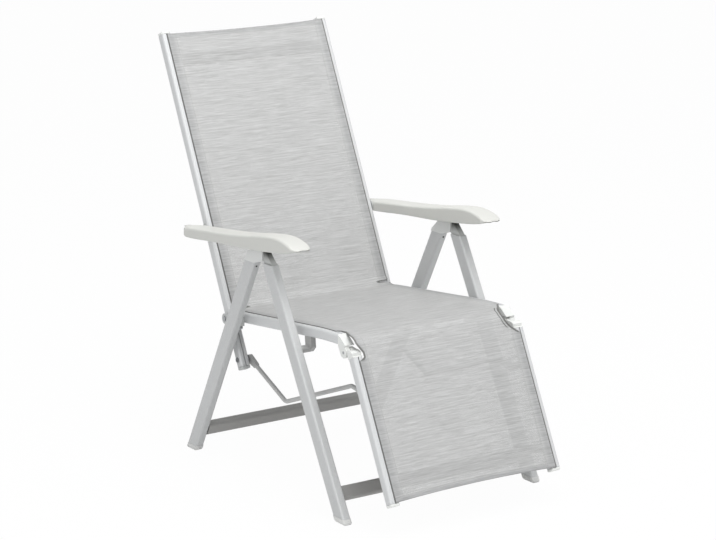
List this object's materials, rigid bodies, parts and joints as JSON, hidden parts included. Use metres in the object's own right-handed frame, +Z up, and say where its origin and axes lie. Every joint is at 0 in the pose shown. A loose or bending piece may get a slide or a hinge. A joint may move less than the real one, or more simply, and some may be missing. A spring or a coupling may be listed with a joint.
{
  "type": "reclining garden armchair",
  "caption": "Folding reclining garden armchair with a mesh sling, metal tube frame, moulded armrests and a leg rest that rises as the backrest leans back.",
  "frame": {"origin": "floor level under the centre of the chair's box", "axes": "the sitter faces -Y, +X is the sitter's left, +Z up"},
  "size_m": [0.67, 1.15, 1.149],
  "materials": {
    "frame_aluminium": "satin silver extruded tube",
    "shaded_tube": "satin silver tube",
    "rod_steel": "satin silver grey coating",
    "bright_steel": "plated fasteners",
    "white_plastic": "fine satin moulding",
    "grey_plastic": "satin moulding",
    "sling_fabric": "coated yarn mesh with light and mid grey streaks",
    "cord_plastic": "edge cord inside the rail grooves"
  },
  "bodies": {
    "front_frame": {"front_leg_left": "frame_aluminium", "front_leg_right": "frame_aluminium", "front_feet": "grey_plastic", "front_crossbar": "shaded_tube", "front_leg_head_left": "grey_plastic", "front_leg_head_right": "grey_plastic", "apex_pins": "bright_steel"},
    "rear_frame": {"rear_leg_left": "frame_aluminium", "rear_leg_right": "frame_aluminium", "rear_feet": "grey_plastic", "rear_crossbar": "shaded_tube", "rear_leg_head_left": "grey_plastic", "rear_leg_head_right": "grey_plastic", "leg_screws": "bright_steel", "seat_rest_studs": "bright_steel"},
    "seat": {"seat_rail_left": "frame_aluminium", "seat_rail_right": "frame_aluminium", "seat_strap_left": "rod_steel", "seat_strap_right": "rod_steel", "seat_pivot_bolts": "bright_steel", "seat_rear_tube": "shaded_tube", "seat_front_tube": "shaded_tube", "back_hinge_plate_left": "grey_plastic", "back_hinge_plate_right": "grey_plastic", "back_pivot_bolts": "bright_steel", "seat_saddle_left": "grey_plastic", "seat_saddle_right": "grey_plastic", "knee_fork_left": "white_plastic", "knee_fork_right": "white_plastic", "knee_pins": "bright_steel", "seat_edge_cords": "cord_plastic", "sling_seat": "sling_fabric"},
    "back": {"back_rail_left": "frame_aluminium", "back_rail_right": "frame_aluminium", "back_top_caps": "white_plastic", "back_bottom_caps": "grey_plastic", "back_top_bar": "shaded_tube", "rod_rear_bolts": "bright_steel", "arm_pivot_bolts": "bright_steel", "sling_back": "sling_fabric", "back_edge_cords": "cord_plastic", "arm_hub_left": "grey_plastic", "arm_hub_right": "grey_plastic"},
    "leg_rest": {"leg_rest_rail_left": "frame_aluminium", "leg_rest_rail_right": "frame_aluminium", "knee_tongue_left": "white_plastic", "knee_tongue_right": "white_plastic", "leg_rest_end_caps": "white_plastic", "leg_rest_tube": "shaded_tube", "rod_lugs": "rod_steel", "sling_leg_rest": "sling_fabric", "leg_rest_edge_cords": "cord_plastic"},
    "push_rod_left": {"push_rod_left": "rod_steel"},
    "push_rod_right": {"push_rod_right": "rod_steel"},
    "arm_left": {"armrest_left": "white_plastic", "arm_rack_left": "grey_plastic"},
    "arm_right": {"armrest_right": "white_plastic", "arm_rack_right": "grey_plastic"}
  },
  "joints": [
    {"name": "fold", "type": "hinge", "parent": "front_frame", "child": "rear_frame", "pos_m": [0, -0.02133, 0.66], "axis": [-1, 0, 0], "range_deg": [0, 34]},
    {"name": "seat_tilt", "type": "hinge", "parent": "front_frame", "child": "seat", "pos_m": [0, -0.17946, 0.407], "axis": [1, 0, 0], "range_deg": [0, 4]},
    {"name": "recline", "type": "hinge", "parent": "seat", "child": "back", "pos_m": [0, 0.21407, 0.402], "axis": [-1, 0, 0], "range_deg": [-14, 28]},
    {"name": "leg_rest_swing", "type": "hinge", "parent": "seat", "child": "leg_rest", "pos_m": [0, -0.35693, 0.437], "axis": [-1, 0, 0], "range_deg": [-14, 28]},
    {"name": "push_rod_turn_left", "type": "hinge", "parent": "back", "child": "push_rod_left", "pos_m": [0.2315, 0.16383, 0.29523], "axis": [-1, 0, 0], "range_deg": [-28, 14]},
    {"name": "push_rod_turn_right", "type": "hinge", "parent": "back", "child": "push_rod_right", "pos_m": [-0.2315, 0.16383, 0.29523], "axis": [-1, 0, 0], "range_deg": [-28, 14]},
    {"name": "armrest_turn_left", "type": "hinge", "parent": "back", "child": "arm_left", "pos_m": [0.2775, 0.32248, 0.63237], "axis": [-1, 0, 0], "range_deg": [-20, 10]},
    {"name": "armrest_turn_right", "type": "hinge", "parent": "back", "child": "arm_right", "pos_m": [-0.2775, 0.32248, 0.63237], "axis": [-1, 0, 0], "range_deg": [-20, 10]}
  ],
  "couplings": [
    {"joint": "seat_tilt", "follows": "fold", "ratio": 0.11765},
    {"joint": "leg_rest_swing", "follows": "recline", "ratio": 1},
    {"joint": "push_rod_turn_left", "follows": "recline", "ratio": -1},
    {"joint": "push_rod_turn_right", "follows": "recline", "ratio": -1},
    {"joint": "armrest_turn_left", "follows": "recline", "ratio": -0.71},
    {"joint": "armrest_turn_right", "follows": "recline", "ratio": -0.71}
  ]
}
